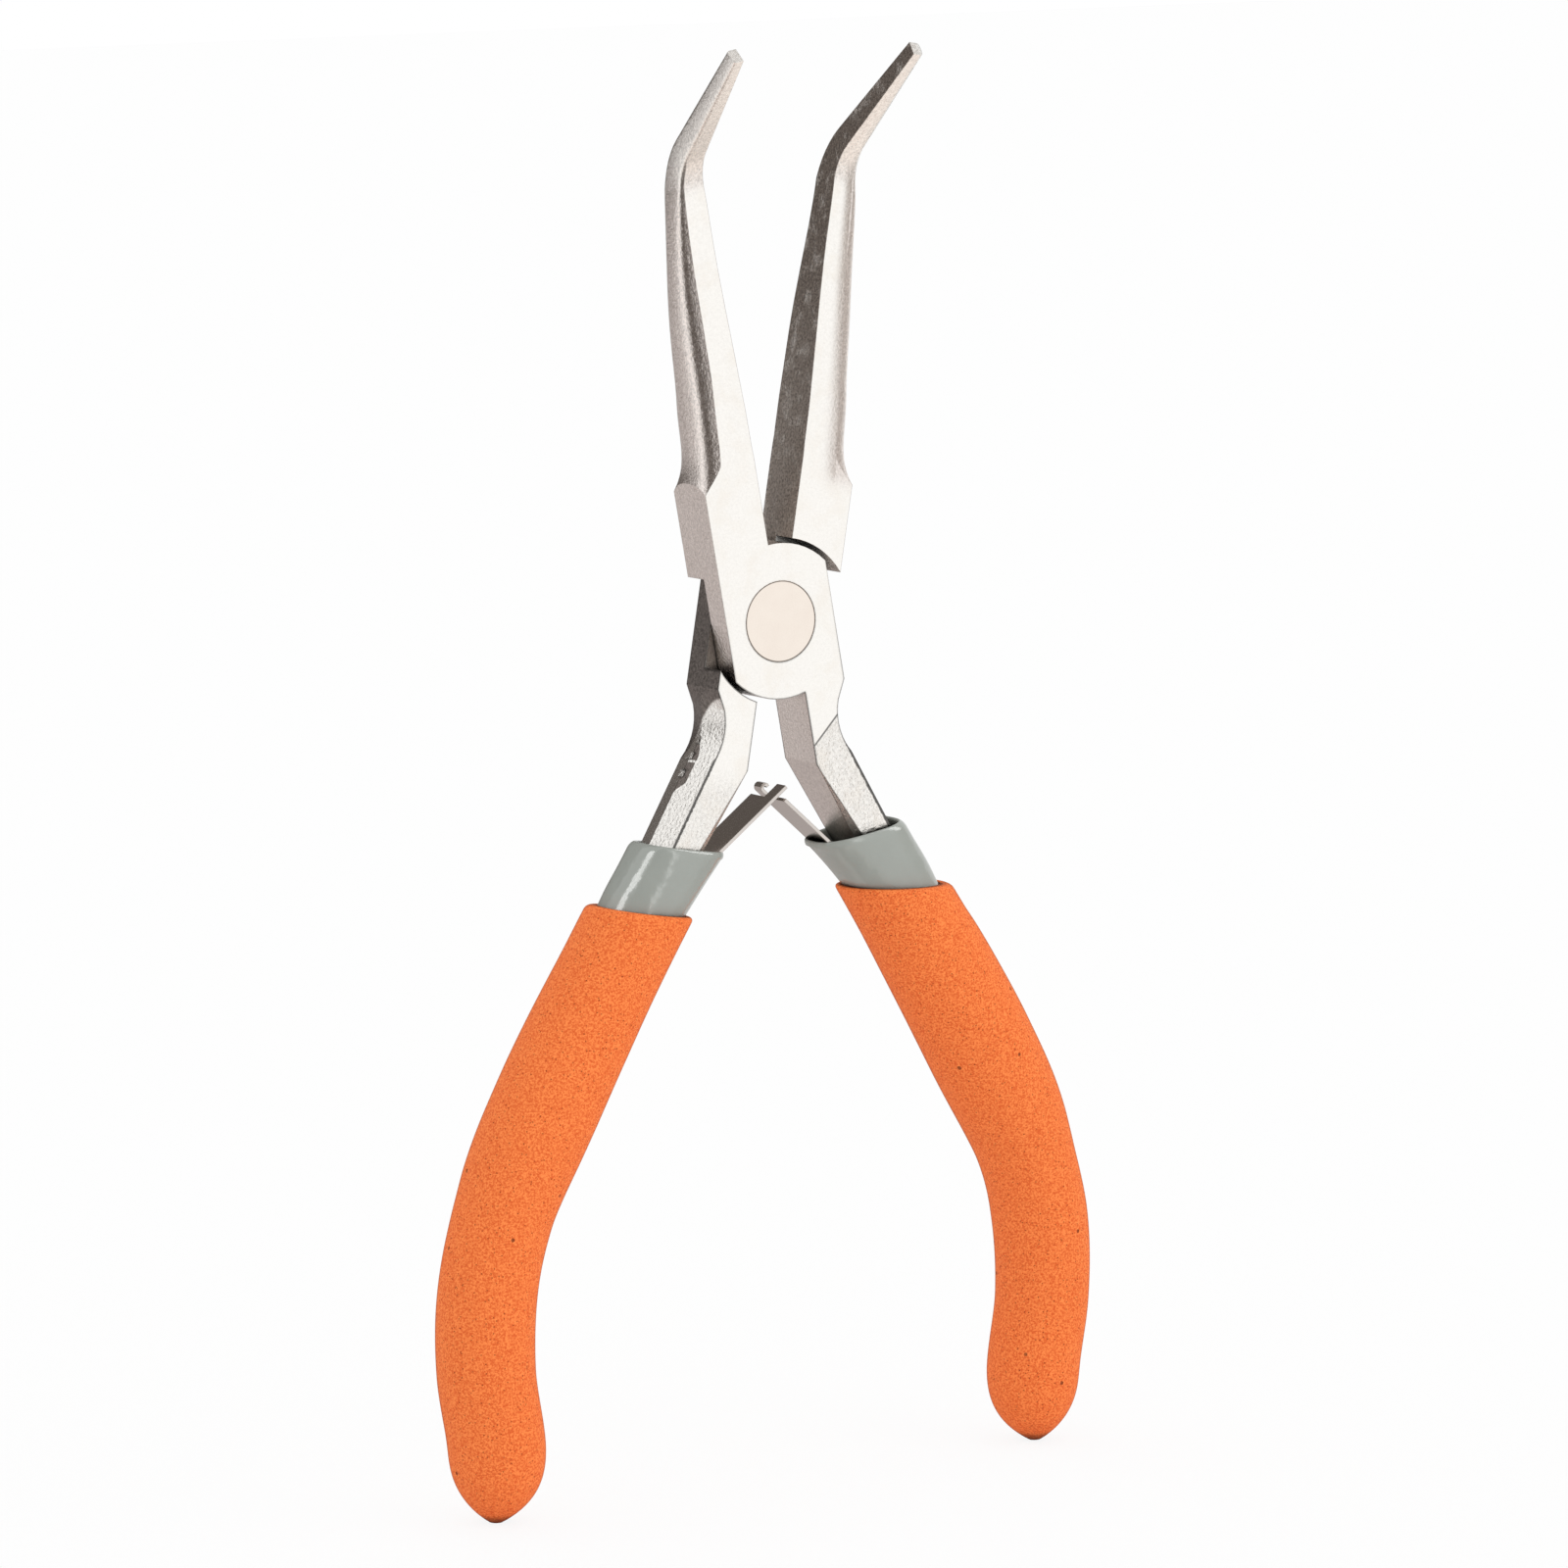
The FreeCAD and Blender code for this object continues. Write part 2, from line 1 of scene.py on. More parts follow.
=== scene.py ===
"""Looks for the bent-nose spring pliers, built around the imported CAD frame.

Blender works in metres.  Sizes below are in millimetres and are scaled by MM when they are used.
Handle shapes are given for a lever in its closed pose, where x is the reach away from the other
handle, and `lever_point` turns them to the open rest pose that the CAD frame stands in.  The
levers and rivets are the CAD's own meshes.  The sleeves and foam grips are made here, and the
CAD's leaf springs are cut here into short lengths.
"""
import math
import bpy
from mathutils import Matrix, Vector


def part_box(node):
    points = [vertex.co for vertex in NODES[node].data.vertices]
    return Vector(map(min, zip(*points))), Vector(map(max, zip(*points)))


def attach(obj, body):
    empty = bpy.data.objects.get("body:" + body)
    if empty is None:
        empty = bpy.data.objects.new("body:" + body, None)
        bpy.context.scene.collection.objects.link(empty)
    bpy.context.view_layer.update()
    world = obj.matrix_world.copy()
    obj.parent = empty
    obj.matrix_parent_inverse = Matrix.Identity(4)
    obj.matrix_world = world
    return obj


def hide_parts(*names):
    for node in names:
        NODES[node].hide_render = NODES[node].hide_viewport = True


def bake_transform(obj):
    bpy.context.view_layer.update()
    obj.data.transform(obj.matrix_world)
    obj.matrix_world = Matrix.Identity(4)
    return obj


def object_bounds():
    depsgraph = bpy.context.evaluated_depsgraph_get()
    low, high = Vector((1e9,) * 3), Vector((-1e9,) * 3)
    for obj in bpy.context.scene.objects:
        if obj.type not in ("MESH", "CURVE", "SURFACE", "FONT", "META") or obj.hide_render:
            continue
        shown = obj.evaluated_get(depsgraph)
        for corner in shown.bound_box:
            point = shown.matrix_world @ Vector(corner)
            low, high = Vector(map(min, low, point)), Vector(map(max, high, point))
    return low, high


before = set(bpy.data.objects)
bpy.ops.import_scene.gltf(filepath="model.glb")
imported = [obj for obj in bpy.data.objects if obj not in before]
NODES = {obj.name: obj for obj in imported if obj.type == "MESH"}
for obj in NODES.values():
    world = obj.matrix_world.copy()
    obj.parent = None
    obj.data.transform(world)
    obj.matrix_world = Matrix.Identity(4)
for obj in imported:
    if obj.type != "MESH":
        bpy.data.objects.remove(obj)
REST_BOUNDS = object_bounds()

from types import SimpleNamespace

import bmesh
import bpy
import numpy as np
from mathutils import Matrix, Vector

MM = 0.001
MID_Y = sum(corner.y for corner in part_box("pivot_rivet")) / 2    # middle plane of the joint

# ---- driving sizes, millimetres ----------------------------------------------------------
OPEN_HALF = 9.9                       # turn of each lever from the closed pose, degrees
# Middle line of a handle, closed: heights and reach from the middle of the tool.
HANDLE_Z = [-96.3, -88.6, -80.5, -70.5, -62.0, -51.6, -36.2, -23.5]
HANDLE_X = [17.3, 18.4, 21.0, 22.2, 21.2, 18.0, 12.2, 6.9]
LEAN = 0.0104                         # backward lean of the handles per millimetre of height
LEAN_START = -20.0                    # the handles are upright above this height
MOUTH_Z = -24.5                       # level of the sleeve mouths
SLEEVE_LOW = -92.5                    # closed end of the sleeves, inside the foam
SLEEVE_WALL = 0.75
SLEEVE_SETTLE = 9.0                   # height over which the level mouth turns square to the handle
LIP = 0.8                             # height of the rounded lip at the sleeve mouth
POCKET_LOW = -36.0                    # bottom of the open pocket in the sleeve
FIT = 0.03                            # gap between sleeve and foam
RING = 96                             # points round a sleeve or a grip

# Sleeve outside: height, outer reach, inner reach, half depth, squareness.
SLEEVE_REACH = {
    "left": [(-92.5, 2.6, 2.6, 2.6, 2.2), (-82.0, 3.4, 3.4, 3.4, 2.2), (-62.0, 3.6, 3.6, 3.6, 2.2),
             (-36.0, 3.9, 3.9, 3.9, 2.3), (-31.0, 4.1, 4.2, 4.0, 2.4), (-27.5, 3.95, 4.6, 3.95, 2.6),
             (-24.5, 3.9, 5.05, 3.9, 2.8)],
    "right": [(-92.5, 2.6, 2.6, 2.6, 2.2), (-82.0, 3.4, 3.4, 3.4, 2.2), (-62.0, 3.6, 3.6, 3.6, 2.2),
              (-36.0, 3.9, 3.9, 3.9, 2.3), (-31.0, 4.25, 4.3, 4.0, 2.4), (-27.5, 4.15, 4.95, 3.95, 2.6),
              (-24.5, 4.1, 5.8, 3.9, 2.8)],
}
# Foam outside: height, outer reach, inner reach, half depth.
FOAM_REACH = {
    "left": [(-96.1, 5.05, 5.05, 4.95), (-82.0, 5.05, 5.05, 5.05), (-76.0, 5.1, 5.1, 5.1),
             (-65.5, 5.1, 5.1, 5.1), (-63.4, 5.15, 5.1, 5.2), (-61.0, 5.3, 5.3, 5.3),
             (-57.0, 5.5, 5.55, 5.45), (-52.0, 5.6, 5.6, 5.5), (-45.0, 5.5, 5.5, 5.4),
             (-39.0, 5.3, 5.3, 5.3), (-31.0, 5.25, 5.25, 5.2)],
    "right": [(-96.1, 4.95, 4.95, 4.9), (-82.0, 4.95, 4.95, 4.95), (-72.0, 5.1, 5.1, 5.1),
              (-65.5, 5.1, 5.1, 5.1), (-63.4, 5.25, 5.2, 5.2), (-61.0, 5.45, 5.45, 5.4),
              (-57.0, 5.75, 5.75, 5.6), (-51.0, 5.88, 5.88, 5.7), (-45.0, 5.8, 5.8, 5.6),
              (-40.0, 5.65, 5.65, 5.5), (-36.0, 5.45, 5.45, 5.35), (-30.0, 5.3, 5.3, 5.2)],
}
FOAM_TOP = -31.5                      # upper edge of the foam
FOAM_TOP_TILT = {"left": 0.0, "right": -12.0}   # degrees from level, outer side down
FOAM_SETTLE = 10.0                    # height over which that cut turns square to the handle
FOAM_LOW = -96.0                      # lower end of the foam
FOAM_RIM = 0.55                       # rounding of the foam's upper edge
FOAM_SQUARENESS = 2.1                 # outside; 2 is an ellipse
FOAM_HOLE_SQUARENESS = 2.2            # inner edge of the foam's upper end
TIP_LENGTH = 9.0                      # length of the foam's tapered end
TIP_BLUNT = 0.035                     # share of that length cut off by the blunt tip
TIP_FULLNESS = 0.88                   # lower is fuller
SIDES = {"left": ("rear_half", 1.0), "right": ("front_half", -1.0)}    # body, way it opens
# Where each leaf leaves its seat and begins to flex, in the rest pose.
LEAF_HINGE = {"left": (-10.85, 3.1, -26.47), "right": (12.82, 3.1, -29.64)}
LEAF_BEND = 0.6                       # share of the free leaf, above there, that is cut into short lengths
LEAF_CUTS = 14
LEAF_CORNER = 30.0                    # edges sharper than this stay sharp, degrees

# Lever finishes: places in the closed pose, millimetres.
GROUND_TOP = 45.0                     # the ground flat of the jaw ends here
SHOULDER_LOW = 7.0                    # the gripping face starts here
LENS_TOP = -8.5                       # top of the forged draft on the shank
NECK_X, NECK_Z = 6.0, -15.5           # outer edge of the shank's front face, below its neck
EDGE_SLOPE = 0.374                    # how fast that edge runs outwards on the way down
PARTING_Y = 3.5                       # depth of the forging's parting line
PATCH_REACH = 1.1                      # how far the painted dark patch comes forward of that line
PATCH_GAP_LINES = [(-13.2, 0.12), (-15.4, 0.05)]     # height and lean of the lines left out of the painted dark patch
STEP_SLOPE, STEP_LEVEL = 0.754, -15.05          # slanted end of the right shank's ground face
CROWN_WIDTH, CROWN_TAPER = 5.25, 0.065          # width of the left jaw, less this share of height
CROWN_START = 0.4                     # share of that width where the rounding starts
RIVET_EDGE = 4.13                     # radius of the painted shade line round the rivet

FLOOR_CLEAR = 0.88                    # how far the floor lets the white backdrop through
FLOOR_SIZE = 3.0                      # metres each way from the middle
# Soft boxes seen as streaks on the sleeves: name, azimuth, elevation, width in metres, power.
STRIPS = [("left_strip", -95.0, 28.0, 0.4, 9.0), ("middle_strip", 12.0, 24.0, 0.22, 1.6),
          ("right_strip", 62.0, 38.0, 0.4, 7.0)]
STRIP_LENGTH = 0.9                    # metres


# ---- shapes ------------------------------------------------------------------------------
def lever_point(side, x, y, z):
    """Closed-pose lever point (millimetres) to the open rest pose (metres)."""
    turn = math.radians(OPEN_HALF) * SIDES[side][1]
    x = -SIDES[side][1] * x
    c, s = math.cos(turn), math.sin(turn)
    return np.stack([x * c + z * s, y + MID_Y / MM, -x * s + z * c], axis=-1) * MM


def smooth(at, knots, values):
    """Smooth curve through the knots (ascending), evaluated at the given places."""
    knots, values = np.asarray(knots, float), np.asarray(values, float)
    slopes = np.gradient(values, knots)
    i = np.clip(np.searchsorted(knots, at) - 1, 0, len(knots) - 2)
    span = knots[i + 1] - knots[i]
    t = (at - knots[i]) / span
    t2, t3 = t * t, t * t * t
    return ((2 * t3 - 3 * t2 + 1) * values[i] + (t3 - 2 * t2 + t) * span * slopes[i]
            + (3 * t2 - 2 * t3) * values[i + 1] + (t3 - t2) * span * slopes[i + 1])


def handle_x(z):
    """Reach of the handle's middle line at height z."""
    return smooth(z, HANDLE_Z, HANDLE_X)


def handle_tilt(z):
    """Angle between the handle's cross direction and the level, in radians."""
    return np.arctan((handle_x(z - 0.2) - handle_x(z + 0.2)) / 0.4)


def ring(side, z, tilt, outer, inner, depth, squareness):
    """One closed ring round the handle; tilt is the ring's angle from the level, in radians."""
    turn = np.linspace(0, 2 * math.pi, RING, endpoint=False)
    c, s = np.cos(turn), np.sin(turn)
    stretch = 1 / math.cos(tilt - float(handle_tilt(np.array(z))))
    reach = np.where(c > 0, outer, inner) * stretch
    a = np.sign(c) * np.abs(c) ** (2 / squareness) * reach
    b = np.sign(s) * np.abs(s) ** (2 / squareness) * depth
    x = float(handle_x(np.array(z))) + a * math.cos(tilt)
    y = b + LEAN * max(0.0, LEAN_START - z)
    return lever_point(side, x, y, z + a * math.sin(tilt))


def shell(name, rings):
    """Closed mesh through a list of rings, capped at its first and last ring."""
    points = np.concatenate(rings + [rings[0].mean(0)[None], rings[-1].mean(0)[None]])
    count = len(rings)
    first_cap, last_cap = count * RING, count * RING + 1
    faces = []
    for i in range(count - 1):
        for j in range(RING):
            k = (j + 1) % RING
            faces.append((i * RING + j, i * RING + k, (i + 1) * RING + k, (i + 1) * RING + j))
    for j in range(RING):
        k = (j + 1) % RING
        faces.append((first_cap, k, j))
        faces.append((last_cap, (count - 1) * RING + j, (count - 1) * RING + k))
    mesh = bpy.data.meshes.new(name)
    mesh.from_pydata(points.tolist(), [], faces)
    mesh.update()
    piece = bpy.data.objects.new(name, mesh)
    bpy.context.scene.collection.objects.link(piece)
    mesh.shade_smooth()
    make_normals_outward(piece)
    return piece


def make_normals_outward(piece):
    """Turn every face of a closed mesh outwards."""
    mesh = bmesh.new()
    mesh.from_mesh(piece.data)
    bmesh.ops.recalc_face_normals(mesh, faces=mesh.faces)
    mesh.to_mesh(piece.data)
    mesh.free()


def sleeve_reach(side, z):
    """Outer reach, inner reach, half depth and squareness of a sleeve at height z."""
    table = np.array(SLEEVE_REACH[side])
    return [float(smooth(np.array(z), table[:, 0], table[:, i])) for i in range(1, 5)]


def foam_reach(side, z):
    """Outer reach, inner reach and half depth of a foam grip at height z, tapered at its end."""
    table = np.array(FOAM_REACH[side])
    share = TIP_BLUNT + (1 - TIP_BLUNT) * min(1.0, max(0.0, (z - FOAM_LOW) / TIP_LENGTH))
    taper = (1 - (1 - share) ** 3) ** TIP_FULLNESS
    return [taper * float(smooth(np.array(z), table[:, 0], table[:, i])) for i in range(1, 4)]


def blend_tilt(z, top, top_tilt, settle):
    """Ring tilt that starts at top_tilt on the cut end and settles to the handle's own."""
    share = min(1.0, max(0.0, (top - z) / settle))
    share = share * share * (3 - 2 * share)
    return (1 - share) * top_tilt + share * float(handle_tilt(np.array(z)))


def sleeve(side):
    """Dipped sleeve: a thin wall round an open pocket, with a rolled lip at its mouth."""
    rings = []
    half = SLEEVE_WALL / 2
    for z in np.linspace(POCKET_LOW, MOUTH_Z - LIP, 14):
        o, i, d, q = sleeve_reach(side, z)
        tilt = blend_tilt(z, MOUTH_Z, 0.0, SLEEVE_SETTLE)
        rings.append(ring(side, z, tilt, o - SLEEVE_WALL, i - SLEEVE_WALL, d - SLEEVE_WALL, q))
    o, i, d, q = sleeve_reach(side, MOUTH_Z)
    for turn in np.linspace(0.2, 2.95, 13):
        inset = half + half * math.cos(turn)
        z = MOUTH_Z - LIP + LIP * math.sin(turn)
        rings.append(ring(side, z, 0.0, o - inset, i - inset, d - inset, q))
    for z in np.linspace(MOUTH_Z - LIP, SLEEVE_LOW, 90):
        o, i, d, q = sleeve_reach(side, z)
        rings.append(ring(side, z, blend_tilt(z, MOUTH_Z, 0.0, SLEEVE_SETTLE), o, i, d, q))
    return shell("sleeve_" + side, rings)


def foam(side):
    """Foam grip: a hollow sleeve with a rounded upper edge and a blunt closed end."""
    rings = []
    top, top_tilt = FOAM_TOP, math.radians(FOAM_TOP_TILT[side])
    for z in np.linspace(SLEEVE_LOW - FIT, top - FOAM_RIM, 60):
        o, i, d, q = sleeve_reach(side, max(z, SLEEVE_LOW))
        tilt = blend_tilt(z, top, top_tilt, FOAM_SETTLE)
        rings.append(ring(side, z, tilt, o + FIT, i + FIT, d + FIT, q))
    o, i, d = foam_reach(side, top)
    so, si, sd, _ = sleeve_reach(side, top)
    rings.append(ring(side, top, top_tilt, so + FIT, si + FIT, sd + FIT, FOAM_HOLE_SQUARENESS))
    for turn in np.linspace(math.pi / 2, 0, 8):
        inset = FOAM_RIM * (1 - math.cos(turn))
        z = top - FOAM_RIM * (1 - math.sin(turn))
        rings.append(ring(side, z, top_tilt, o - inset, i - inset, d - inset, FOAM_SQUARENESS))
    for z in np.linspace(top - FOAM_RIM - 0.3, FOAM_LOW, 250):
        o, i, d = foam_reach(side, z)
        tilt = blend_tilt(z, top, top_tilt, FOAM_SETTLE)
        rings.append(ring(side, z, tilt, o, i, d, FOAM_SQUARENESS))
    return shell("foam_" + side, rings)


def leaf(side):
    """Leaf spring, cut across into short lengths above its seat."""
    mesh = bmesh.new()
    mesh.from_mesh(NODES["leaf_spring_" + side].data)
    hinge = Vector(LEAF_HINGE[side]) * MM
    top = max((vertex.co for vertex in mesh.verts), key=lambda point: point.z)
    along = Vector((top.x - hinge.x, 0, top.z - hinge.z))
    for share in np.linspace(0, LEAF_BEND, LEAF_CUTS):
        everything = mesh.verts[:] + mesh.edges[:] + mesh.faces[:]
        bmesh.ops.bisect_plane(mesh, geom=everything, plane_co=hinge + along * float(share),
                               plane_no=along.normalized())
    data = bpy.data.meshes.new("leaf_" + side)
    mesh.to_mesh(data)
    mesh.free()
    data.shade_smooth()
    data.set_sharp_from_angle(angle=math.radians(LEAF_CORNER))
    piece = bpy.data.objects.new("leaf_" + side, data)
    bpy.context.scene.collection.objects.link(piece)
    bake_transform(piece)
    return piece


# ---- shader helpers ----------------------------------------------------------------------
class Graph:
    """Adds nodes to a shader tree and links them."""

    def __init__(self, tree):
        self.tree = tree
        tree.nodes.clear()

    def add(self, kind, inputs=None, **settings):
        node = self.tree.nodes.new(kind)
        for key, value in settings.items():
            setattr(node, key, value)
        for key, value in (inputs or {}).items():
            self.put(node.inputs[key], value)
        return node

    def put(self, socket, value):
        if isinstance(value, bpy.types.NodeSocket):
            self.tree.links.new(value, socket)
        else:
            socket.default_value = value

    def math(self, operation, a, b=0.0, clamp=False):
        node = self.add("ShaderNodeMath", {0: a, 1: b}, operation=operation)
        node.use_clamp = clamp
        return node.outputs[0]

    def ramp(self, value, low, high, to_low=0.0, to_high=1.0):
        """Smooth step of value from low to high."""
        node = self.add("ShaderNodeMapRange", {"Value": value, "From Min": low, "From Max": high,
                                               "To Min": to_low, "To Max": to_high})
        node.interpolation_type = "SMOOTHSTEP"
        return node.outputs["Result"]

    def mix(self, share, a, b):
        """Colour mix; a at 0 and b at 1."""
        node = self.add("ShaderNodeMix", data_type="RGBA")
        self.put(node.inputs[0], share)
        self.put(node.inputs[6], a)
        self.put(node.inputs[7], b)
        return node.outputs[2]

    def blend(self, share, a, b):
        """Number mix; a at 0 and b at 1."""
        node = self.add("ShaderNodeMix", data_type="FLOAT")
        self.put(node.inputs[0], share)
        self.put(node.inputs[2], a)
        self.put(node.inputs[3], b)
        return node.outputs[0]

    def band(self, value, rise, fall):
        """1 between rise and fall; each is a pair: where it is 0, where it is 1."""
        return self.math("MULTIPLY", self.ramp(value, *rise), self.ramp(value, *fall))

    def invert(self, value):
        return self.math("SUBTRACT", 1.0, value)

    def place(self):
        """Place on the object in millimetres."""
        source = self.add("ShaderNodeTexCoord").outputs["Object"]
        return self.add("ShaderNodeVectorMath", {0: source, 1: (1 / MM,) * 3},
                        operation="MULTIPLY").outputs[0]

    def split(self, vector):
        return self.add("ShaderNodeSeparateXYZ", {0: vector}).outputs

    def noise(self, vector, scale, detail, roughness):
        node = self.add("ShaderNodeTexNoise", {"Vector": vector, "Scale": scale, "Detail": detail,
                                               "Roughness": roughness})
        return node.outputs["Fac"]

    def stretch(self, vector, scale, turn=(0, 0, 0)):
        node = self.add("ShaderNodeMapping", {"Vector": vector, "Scale": scale, "Rotation": turn})
        return node.outputs[0]

    def bump(self, height, depth, normal=None):
        inputs = {"Height": height, "Distance": depth, "Strength": 1.0}
        if normal is not None:
            inputs["Normal"] = normal
        return self.add("ShaderNodeBump", inputs).outputs[0]

    def gap_shade(self, reach, darkest):
        """Painted shade: 1 on open surfaces, falling to darkest in narrow gaps; reach is in
        millimetres.
        """
        node = self.add("ShaderNodeAmbientOcclusion", {"Distance": reach * MM}, samples=6)
        return self.ramp(node.outputs["AO"], 0.15, 0.75, darkest, 1.0)

    def shade(self, colour, factor):
        """Colour times a number."""
        grey = self.add("ShaderNodeCombineXYZ", {0: factor, 1: factor, 2: factor}).outputs[0]
        node = self.add("ShaderNodeMix", data_type="RGBA", blend_type="MULTIPLY")
        node.inputs[0].default_value = 1.0
        self.put(node.inputs[6], colour)
        self.put(node.inputs[7], grey)
        return node.outputs[2]

    def finish(self, shader):
        self.add("ShaderNodeOutputMaterial", {"Surface": shader})


def new_material(name):
    material = bpy.data.materials.new(name)
    material.use_nodes = True
    return material, Graph(material.node_tree)


def rgb(r, g, b):
    """Linear colour from 0-255 display values."""
    out = []
    for v in (r, g, b):
        v = v / 255
        out.append(v / 12.92 if v <= 0.04045 else ((v + 0.055) / 1.055) ** 2.4)
    return (*out, 1.0)


GROUND = rgb(254, 251, 246)           # ground flats
BLASTED = rgb(246, 237, 231)          # blasted flanks and nose
MILLED = rgb(228, 217, 208)           # gripping faces
FORGED = rgb(254, 251, 246)           # rough forged shank
DARK_WALL_PAINT = rgb(140, 132, 127)             # painted dark reflection on the outer walls of the joint
DARK_PATCH_PAINT = rgb(120, 112, 107)          # painted dark reflection on the left shank's draft
WARM = rgb(244, 236, 225)             # warm mottling on the ground flats
WHITE = (1.0, 1.0, 1.0, 1)
FLAG = (0.13, 0.115, 0.105, 1)        # dark flags at the front left and at the back
SIDE_FLAG = (0.45, 0.41, 0.38, 1)     # paler flag at the right
FLOOR_BEHIND = (0.5, 0.46, 0.45, 1)   # floor behind the object, in reflections
FLOOR_UNDER = (0.95, 0.87, 0.82, 1)   # floor right below the object, in reflections


def lever_frame(g, side, vector, scale):
    """A vector in the closed-pose frame of that handle's lever."""
    turn = -math.radians(OPEN_HALF) * SIDES[side][1]
    sign = -SIDES[side][1]
    turned = g.add("ShaderNodeMapping", {"Vector": vector, "Rotation": (0, turn, 0)})
    return g.add("ShaderNodeVectorMath", {0: turned.outputs[0], 1: (sign * scale, scale, scale)},
                 operation="MULTIPLY").outputs[0]


def scratches(g, place, turn, amount):
    """Short light scratches across the y-z plane, leaning by turn; 1 on a scratch."""
    long_noise = g.noise(g.stretch(place, (0.0, 9.0, 0.8), (turn, 0, 0)), 1.0, 2.0, 0.5)
    patches = g.noise(place, 0.55, 2.0, 0.5)
    return g.math("MULTIPLY", g.ramp(long_noise, 0.54, 0.62), g.ramp(patches, 0.62 - amount, 0.7))


def lever_places(g, side):
    """Closed-pose coordinates on a lever, and the masks that its finishes share."""
    source = g.add("ShaderNodeTexCoord")
    place = lever_frame(g, side, source.outputs["Object"], 1 / MM)
    facing = lever_frame(g, side, source.outputs["Normal"], 1.0)
    x, y, z = g.split(place)
    nx, ny, _ = g.split(facing)
    depth_facing = g.math("ABSOLUTE", ny)
    side_face = g.math("MULTIPLY", g.ramp(depth_facing, 0.97, 0.9), g.ramp(nx, 0.3, 0.4))
    ragged = g.math("SUBTRACT", g.math("MULTIPLY", g.noise(place, 2.5, 2.0, 0.7), 0.3), 0.15)
    return SimpleNamespace(
        place=place, x=x, y=y, z=z, normal=source.outputs["Normal"], ragged=ragged,
        face=g.ramp(depth_facing, 0.985, 0.998),       # front and back
        side_face=side_face,                           # outer wall of the shank, inner of the jaw
        gripping=g.ramp(nx, 0.9, 0.98),                # squarely towards the other jaw
        low_edge=g.math("SUBTRACT", z, g.math("MULTIPLY", x, STEP_SLOPE)))


def painted_dark_patch(g, at, draft):
    """Painted dark reflection on the left shank's draft, in front of the parting line, crossed by lines
    left unpainted.
    """
    bulge = g.band(at.z, (-12.3, -15.6), (-19.0, -17.6))
    front_of = g.math("ADD", g.math("ADD", at.y, at.ragged), g.math("MULTIPLY", bulge, PATCH_REACH))
    patch = g.math("MULTIPLY", g.ramp(front_of, PARTING_Y - 0.05, PARTING_Y + 0.05), draft)
    patch = g.math("MULTIPLY", patch, g.ramp(at.y, PARTING_Y + 0.12, PARTING_Y + 0.04))
    for level, lean in PATCH_GAP_LINES:
        height = g.math("ADD", at.z, g.math("MULTIPLY", at.y, lean))
        cut = g.ramp(g.math("ABSOLUTE", g.math("SUBTRACT", height, level)), 0.16, 0.08)
        patch = g.math("MULTIPLY", patch, g.invert(cut))
    return patch


def jaw_crown(g, at):
    """0 on the flat of the left jaw, rising to 1 at its outer edge."""
    width = g.math("SUBTRACT", CROWN_WIDTH, g.math("MULTIPLY", at.z, CROWN_TAPER))
    across = g.math("DIVIDE", g.math("MULTIPLY", at.x, -1.0), width)
    crown = g.math("DIVIDE", g.math("SUBTRACT", across, CROWN_START), 1 - CROWN_START, clamp=True)
    return g.math("MULTIPLY", g.math("MULTIPLY", crown, crown), g.ramp(at.z, 13.5, 16.5))


def lever_finishes(g, side, at):
    """Where each finish is on a lever, 0 to 1; the walls and the left shank's patch carry a painted
    dark reflection.
    """
    flat = g.math("MULTIPLY", at.face, g.ramp(at.z, GROUND_TOP + 2.0, GROUND_TOP))
    above_shoulder = g.ramp(at.z, SHOULDER_LOW, SHOULDER_LOW + 0.5)
    below_shoulder = g.ramp(at.z, SHOULDER_LOW - 1.0, SHOULDER_LOW - 2.0)
    lens = g.math("MULTIPLY", g.math("MULTIPLY", at.y, at.y), 0.2)
    below_lens = g.ramp(g.math("ADD", at.z, lens), LENS_TOP, LENS_TOP - 0.4)
    draft = g.math("MULTIPLY", at.side_face, below_lens)
    wall = g.math("SUBTRACT", at.side_face, draft)
    crown, dark_patch = 0.0, 0.0
    if side == "left":
        rough_front = g.ramp(at.z, -15.0, -19.0)
        dark_patch = painted_dark_patch(g, at, draft)
        crown = jaw_crown(g, at)
        flat = g.math("MULTIPLY", flat, g.invert(crown))
    else:
        rough_front = g.ramp(at.low_edge, STEP_LEVEL + 0.03, STEP_LEVEL - 0.07)
    return SimpleNamespace(
        flat=flat, crown=crown, dark_patch=dark_patch,
        grip=g.math("MULTIPLY", at.gripping, above_shoulder),
        wall=g.math("MULTIPLY", wall, below_shoulder),
        forged=g.math("MAXIMUM", draft, g.math("MULTIPLY", at.face, rough_front)))


